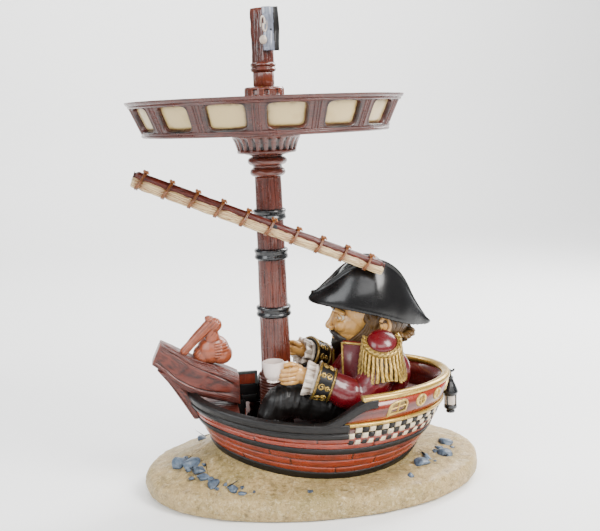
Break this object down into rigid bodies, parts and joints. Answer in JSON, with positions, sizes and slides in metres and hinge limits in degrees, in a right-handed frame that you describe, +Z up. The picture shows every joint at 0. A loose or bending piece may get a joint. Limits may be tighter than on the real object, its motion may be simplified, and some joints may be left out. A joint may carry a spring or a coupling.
{
  "type": "figural tv lamp",
  "caption": "Figural lamp: a reclining pirate in a small boat on a sand base, with a mast as the column and a flared, windowed gallery as the shade.",
  "frame": {"origin": "on the mast axis, in the plane of the felt that the lamp rests on", "axes": "+Z up along the mast, +X towards the stern, -X towards the bow, -Y towards the boat's port side, which faces the viewer"},
  "size_m": [0.316, 0.241, 0.4333],
  "materials": {
    "sand_resin": "painted cast resin, sandy, matt",
    "pebble_paint": "painted cast resin, satin",
    "felt": "green felt",
    "fibreboard": "pressed board",
    "screw_steel": "zinc plated",
    "black_plastic": "moulded",
    "lead_pvc": "pvc sheathed lead",
    "plank_paint": "painted and antiqued cast resin planks, gloss",
    "panel_paint": "painted cast resin, gloss",
    "deck_paint": "painted cast resin",
    "black_paint": "black painted cast resin, satin",
    "mahogany_paint": "antiqued wood-grain resin, gloss",
    "beak_paint": "antiqued wood-grain resin",
    "terracotta_paint": "painted cast resin",
    "gold_paint": "antique gold paint",
    "checker_paint": "black and cream painted squares",
    "cream_liner": "translucent cream sheet",
    "tube_brass": "threaded brass lamp tube",
    "holder_porcelain": "glazed lampholders",
    "bulb_glass": "frosted bulb",
    "iron_paint": "black gloss paint",
    "sail_paint": "cream paint with brown wash",
    "rope_paint": "brown painted rope",
    "flag_paint": "painted cast resin",
    "lantern_glass_paint": "cream painted pane",
    "hat_paint": "black gloss paint",
    "skin_paint": "flesh paint with brown wash",
    "hair_paint": "dark brown, dry-brushed",
    "coat_paint": "burgundy gloss paint",
    "trouser_paint": "black satin paint",
    "lace_paint": "off-white paint",
    "cup_glaze": "off-white gloss",
    "pin_steel": "steel pin"
  },
  "bodies": {
    "lamp": {"felt_pad": "felt", "base_cover": "fibreboard", "base_cover_screws": "screw_steel", "sand_base": "sand_resin", "beach_pebbles": "pebble_paint", "cord_bushing": "black_plastic", "switch_body": "black_plastic", "switch_nut": "screw_steel", "internal_lead": "lead_pvc", "hull_shell": "plank_paint", "hull_bottom": "deck_paint", "cockpit_floor": "deck_paint", "foredeck": "deck_paint", "bow_locker": "panel_paint", "keel_band": "black_paint", "wale": "black_paint", "gunwale_rail": "black_paint", "beak_log": "beak_paint", "bow_figure": "terracotta_paint", "stern_panel": "panel_paint", "stern_rim": "gold_paint", "stern_rail": "gold_paint", "checker_band": "checker_paint", "quarter_knees": "black_paint", "mast_shaft": "mahogany_paint", "mast_hoops": "iron_paint", "mast_rope": "rope_paint", "mast_capital": "mahogany_paint", "corbel": "mahogany_paint", "gallery_floor": "mahogany_paint", "gallery_ring": "mahogany_paint", "window_liner": "cream_liner", "centre_tube": "tube_brass", "tube_nuts": "tube_brass", "lamp_cluster": "holder_porcelain", "gallery_boss": "mahogany_paint", "yard_pin": "pin_steel", "lantern_arm": "iron_paint", "hat": "hat_paint", "head": "skin_paint", "hair": "hair_paint", "coat_body": "coat_paint", "sleeves": "coat_paint", "epaulettes": "gold_paint", "cuffs": "black_paint", "lace_cuffs": "lace_paint", "hands": "skin_paint", "trousers": "trouser_paint", "boots": "trouser_paint", "cup": "cup_glaze"},
    "yard_assembly": {"yard": "mahogany_paint", "furled_sail": "sail_paint", "sail_lashings": "rope_paint"},
    "lantern": {"lantern_body": "iron_paint", "lantern_glass": "lantern_glass_paint"},
    "button": {"switch_button": "black_plastic"},
    "bulb_fore": {"bulb_fore": "bulb_glass"},
    "bulb_aft": {"bulb_aft": "bulb_glass"},
    "topmast_assembly": {"topmast": "mahogany_paint", "flag": "flag_paint"}
  },
  "joints": [
    {"name": "yard_turn", "type": "hinge", "parent": "lamp", "child": "yard_assembly", "pos_m": [0, -0.031, 0.245], "axis": [0, 1, 0], "range_deg": [-40, 0]},
    {"name": "lantern_swing", "type": "hinge", "parent": "lamp", "child": "lantern", "pos_m": [0.1668, -0.002, 0.093], "axis": [1, 0, 0], "range_deg": [-25, 25]},
    {"name": "switch_press", "type": "slide", "parent": "lamp", "child": "button", "axis": [0, -1, 0], "range_m": [0, 0.002], "stiffness_N_per_m": 400, "springref_m": -0.001},
    {"name": "bulb_fore_turn", "type": "hinge", "parent": "lamp", "child": "bulb_fore", "pos_m": [-0.04, 0, 0.3415], "axis": [-1, 0, 0], "continuous": true},
    {"name": "bulb_aft_turn", "type": "hinge", "parent": "lamp", "child": "bulb_aft", "pos_m": [0.04, 0, 0.3415], "axis": [1, 0, 0], "continuous": true},
    {"name": "topmast_turn", "type": "hinge", "parent": "lamp", "child": "topmast_assembly", "pos_m": [0, 0, 0.38], "axis": [0, 0, 1], "continuous": true}
  ]
}
